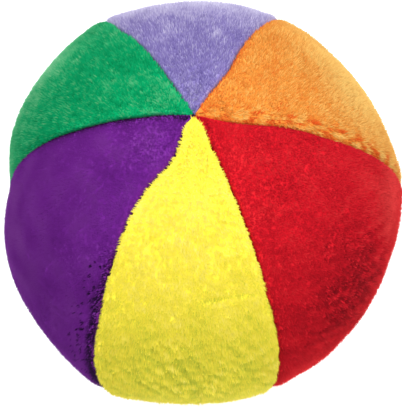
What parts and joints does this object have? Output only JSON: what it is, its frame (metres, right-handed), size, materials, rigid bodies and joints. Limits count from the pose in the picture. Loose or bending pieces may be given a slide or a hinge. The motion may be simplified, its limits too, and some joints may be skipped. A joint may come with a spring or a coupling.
{
  "type": "juggling ball",
  "caption": "Soft round juggling ball sewn from coloured plush panels over a pellet-filled liner, with a small flat base.",
  "frame": {"origin": "middle of the ball's outline seen from above, at the height of the flat patch it rests on", "axes": "+Z along the sewn axis from the base to the crown where the panels meet, -Y towards the middle of the yellow panel, +X near the seam between the red and orange panels"},
  "size_m": [0.073, 0.0732, 0.0717],
  "materials": {
    "plush_yellow": "matte",
    "plush_red": "matte",
    "plush_orange": "matte",
    "plush_lavender": "matte",
    "plush_green": "matte",
    "plush_purple": "matte",
    "sewing_thread": "matte",
    "liner_cloth": "matte",
    "plastic_pellets": "satin"
  },
  "bodies": {
    "root": {"panel_yellow": "plush_yellow", "panel_red": "plush_red", "panel_orange": "plush_orange", "panel_lavender": "plush_lavender", "panel_green": "plush_green", "panel_purple": "plush_purple", "seam_thread_purple_yellow": "sewing_thread", "seam_thread_yellow_red": "sewing_thread", "seam_thread_red_orange": "sewing_thread", "seam_thread_orange_lavender": "sewing_thread", "seam_thread_lavender_green_upper": "sewing_thread", "seam_thread_lavender_green_lower": "sewing_thread", "seam_thread_green_purple": "sewing_thread", "closing_stitch": "sewing_thread", "crown_tack": "sewing_thread", "base_tack": "sewing_thread", "liner_upper": "liner_cloth", "liner_lower": "liner_cloth", "liner_thread": "sewing_thread", "liner_knot": "sewing_thread", "pellet_fill": "plastic_pellets"}
  },
  "joints": []
}
